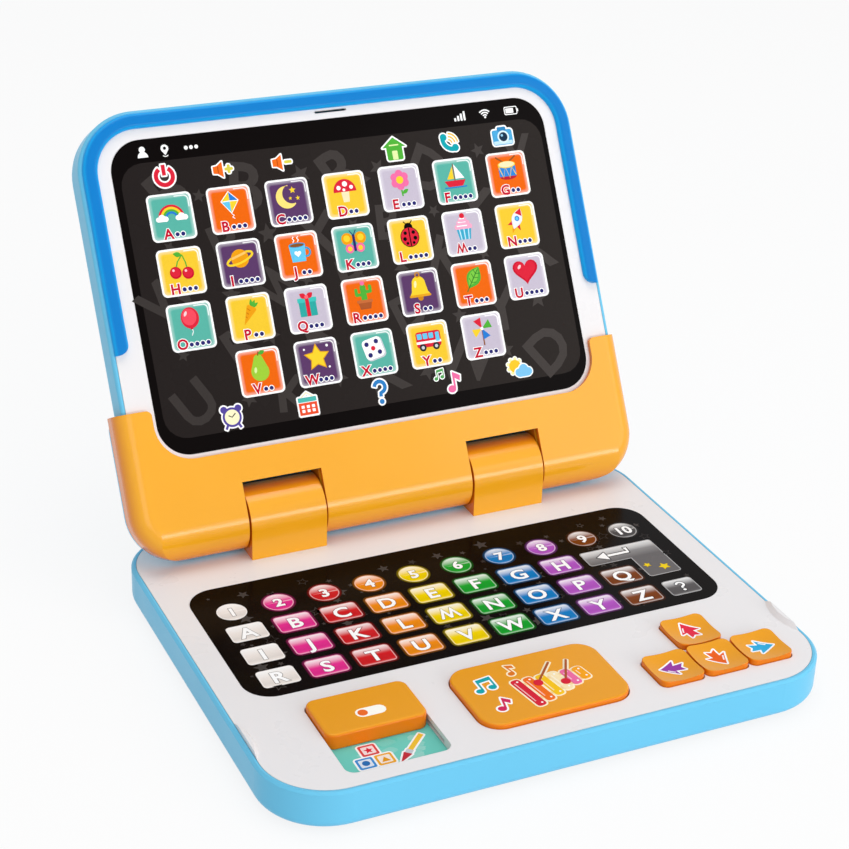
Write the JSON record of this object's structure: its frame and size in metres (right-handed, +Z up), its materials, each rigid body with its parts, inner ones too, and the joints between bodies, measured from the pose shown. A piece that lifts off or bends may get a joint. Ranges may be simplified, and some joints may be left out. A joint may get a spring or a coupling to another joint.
{
  "type": "toy laptop computer",
  "caption": "Child's toy laptop: hinged lid with a printed touch screen, flat printed keyboard, large press buttons, arrow keys and a mode slider.",
  "frame": {"origin": "centre of the base's outline, on the plane that the rubber feet stand on", "axes": "+Z up, +Y from the player's side towards the hinge, +X to the player's right"},
  "size_m": [0.24, 0.2689, 0.1913],
  "materials": {
    "shell_blue": "moulded, semi-gloss",
    "bumper_blue": "moulded, semi-gloss",
    "deck_white": "moulded, gloss",
    "orange": "moulded, semi-gloss",
    "print_black": "printed sheet, gloss",
    "print_teal": "printed card, gloss",
    "contact_film": "polyester film",
    "board_green": "laminate with green lacquer",
    "dark_plastic": "matt",
    "white_plastic": "acetal, satin",
    "washer_plastic": "acetal, satin",
    "steel": "zinc plated",
    "cell_jacket": "plain wrapped",
    "copper": "spring metal",
    "wire_jacket": "soft jacket",
    "rubber": "matt"
  },
  "bodies": {
    "base": {"base_bottom_case": "shell_blue", "base_deck": "deck_white", "keyboard_overlay": "print_black", "keyboard_contact_film": "contact_film", "mode_window_card": "print_teal", "hinge_knuckle_left": "orange", "hinge_knuckle_right": "orange", "hinge_friction_washers": "washer_plastic", "main_circuit_board": "board_green", "board_components": "dark_plastic", "board_screws": "steel", "speaker_frame": "steel", "speaker_cone": "dark_plastic", "speaker_magnet": "steel", "battery_cells": "cell_jacket", "battery_contacts": "steel", "base_wiring": "wire_jacket", "case_screws": "steel", "knuckle_screws": "steel", "rubber_feet": "rubber", "dome_music": "rubber", "dome_up": "rubber", "dome_down": "rubber", "dome_left": "rubber", "dome_right": "rubber"},
    "lid": {"lid_back_shell": "shell_blue", "lid_front_bezel": "deck_white", "lid_bumper": "bumper_blue", "lid_cover": "orange", "screen_overlay": "print_black", "screen_contact_film": "contact_film", "screen_board": "board_green", "lid_screws": "steel", "hinge_pins": "steel", "hinge_bush": "white_plastic", "lid_lead": "wire_jacket"},
    "mode_slider": {"mode_knob": "orange", "mode_wiper": "copper"},
    "music_key": {"music_button": "orange"},
    "up_key": {"arrow_key_up": "orange"},
    "down_key": {"arrow_key_down": "orange"},
    "left_key": {"arrow_key_left": "orange"},
    "right_key": {"arrow_key_right": "orange"},
    "battery_cover": {"battery_door": "shell_blue", "battery_door_screw": "steel"}
  },
  "joints": [
    {"name": "lid_hinge", "type": "hinge", "parent": "base", "child": "lid", "pos_m": [0, 0.0788, 0.032], "axis": [1, 0, 0], "range_deg": [0, 118.4]},
    {"name": "mode_slide", "type": "slide", "parent": "base", "child": "mode_slider", "axis": [0, -1, 0], "range_m": [0, 0.02]},
    {"name": "music_press", "type": "slide", "parent": "base", "child": "music_key", "axis": [0, 0, -1], "range_m": [0, 0.0012], "stiffness_N_per_m": 900, "springref_m": -0.0006, "deforming": ["dome_music"]},
    {"name": "up_press", "type": "slide", "parent": "base", "child": "up_key", "axis": [0, 0, -1], "range_m": [0, 0.0012], "stiffness_N_per_m": 900, "springref_m": -0.0006, "deforming": ["dome_up"]},
    {"name": "down_press", "type": "slide", "parent": "base", "child": "down_key", "axis": [0, 0, -1], "range_m": [0, 0.0012], "stiffness_N_per_m": 900, "springref_m": -0.0006, "deforming": ["dome_down"]},
    {"name": "left_press", "type": "slide", "parent": "base", "child": "left_key", "axis": [0, 0, -1], "range_m": [0, 0.0012], "stiffness_N_per_m": 900, "springref_m": -0.0006, "deforming": ["dome_left"]},
    {"name": "right_press", "type": "slide", "parent": "base", "child": "right_key", "axis": [0, 0, -1], "range_m": [0, 0.0012], "stiffness_N_per_m": 900, "springref_m": -0.0006, "deforming": ["dome_right"]},
    {"name": "battery_door_lift", "type": "slide", "parent": "base", "child": "battery_cover", "axis": [0, 0, -1], "range_m": [0, 0.03]}
  ]
}
